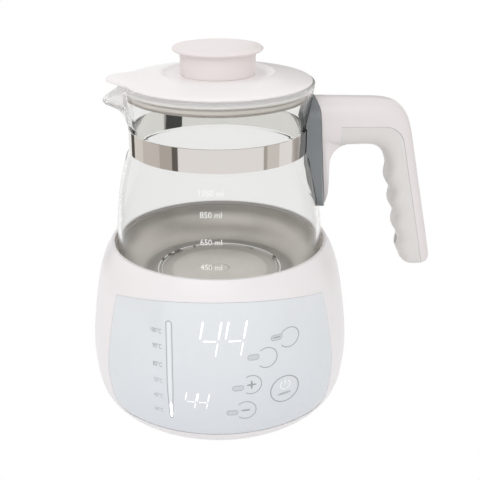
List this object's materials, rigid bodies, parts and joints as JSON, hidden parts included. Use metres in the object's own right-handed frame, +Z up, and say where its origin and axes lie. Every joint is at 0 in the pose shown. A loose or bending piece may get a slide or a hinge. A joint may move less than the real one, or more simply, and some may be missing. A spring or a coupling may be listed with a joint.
{
  "type": "baby formula kettle",
  "caption": "Glass jug with spout, lid and handle that stands in a heated round base with a touch display, for warming and holding water for infant formula.",
  "frame": {"origin": "on the base's axis, in the plane of the ring foot's underside", "axes": "+Z up along the axis of base and jug, +X from that axis to the handle, -X to the spout, -Y to the front with the display"},
  "size_m": [0.2075, 0.1691, 0.2228],
  "materials": {
    "housing_white": "satin moulded plastic",
    "panel_window": "smooth translucent plastic",
    "cover_plastic": "fine texture",
    "foot_rubber": "matt",
    "screw_steel": "bright zinc",
    "dish_steel": "polished",
    "silicone_grey": "matt silicone",
    "spreader_aluminium": "milled",
    "heater_steel": "bead blasted",
    "pressed_steel": "bright zinc",
    "cutout_black": "matt",
    "spring_steel": "drawn wire",
    "holder_plastic": "heat resistant moulding",
    "board_green": "solder mask",
    "display_white": "diffusing plastic",
    "light_guide_clear": "clear plastic",
    "pad_foam": "conductive foam",
    "transformer_core": "varnished",
    "relay_blue": "moulded",
    "terminal_green": "moulded",
    "buzzer_black": "moulded",
    "gland_rubber": "moulded",
    "clamp_plastic": "moulded",
    "jug_glass": "clear",
    "band_steel": "polished",
    "mount_grey": "satin",
    "handle_white": "satin",
    "lid_white": "satin",
    "plug_plastic": "moulded",
    "knob_white": "satin"
  },
  "bodies": {
    "base": {"base_housing": "housing_white", "front_panel": "panel_window", "bottom_cover": "cover_plastic", "ring_foot": "foot_rubber", "cover_screws": "screw_steel", "heating_dish": "dish_steel", "dish_seal": "silicone_grey", "heat_spreader": "spreader_aluminium", "heating_element": "heater_steel", "dish_carrier": "pressed_steel", "carrier_screws": "screw_steel", "thermal_cutout": "cutout_black", "probe_spring": "spring_steel", "probe_holder": "holder_plastic", "display_board": "board_green", "main_display": "display_white", "small_display": "display_white", "level_light_guide": "light_guide_clear", "touch_pads": "pad_foam", "display_board_screws": "screw_steel", "power_board": "board_green", "transformer": "transformer_core", "relay": "relay_blue", "terminal_block": "terminal_green", "buzzer": "buzzer_black", "power_board_screws": "screw_steel", "cord_gland": "gland_rubber", "cord_clamp": "clamp_plastic", "cord_clamp_screws": "screw_steel"},
    "probe": {"temperature_probe": "dish_steel"},
    "jug": {"glass_jug": "jug_glass", "neck_band": "band_steel", "band_nut": "pressed_steel", "clamp_screw": "screw_steel", "handle_mount": "mount_grey", "mount_screws": "screw_steel", "handle_shell": "handle_white", "handle_grip": "handle_white", "handle_screws": "screw_steel"},
    "lid": {"lid_cover": "lid_white", "lid_plug": "plug_plastic", "lid_seal": "silicone_grey", "lid_knob": "knob_white", "knob_screw": "screw_steel"}
  },
  "joints": [
    {"name": "jug_lift", "type": "slide", "parent": "base", "child": "jug", "axis": [0, 0, 1], "range_m": [0, 0.045]},
    {"name": "lid_lift", "type": "slide", "parent": "jug", "child": "lid", "axis": [0, 0, 1], "range_m": [0, 0.035]},
    {"name": "probe_press", "type": "slide", "parent": "base", "child": "probe", "axis": [0, 0, 1], "range_m": [-0.002, 0], "stiffness_N_per_m": 300, "springref_m": 0.004, "deforming": ["probe_spring"]}
  ]
}
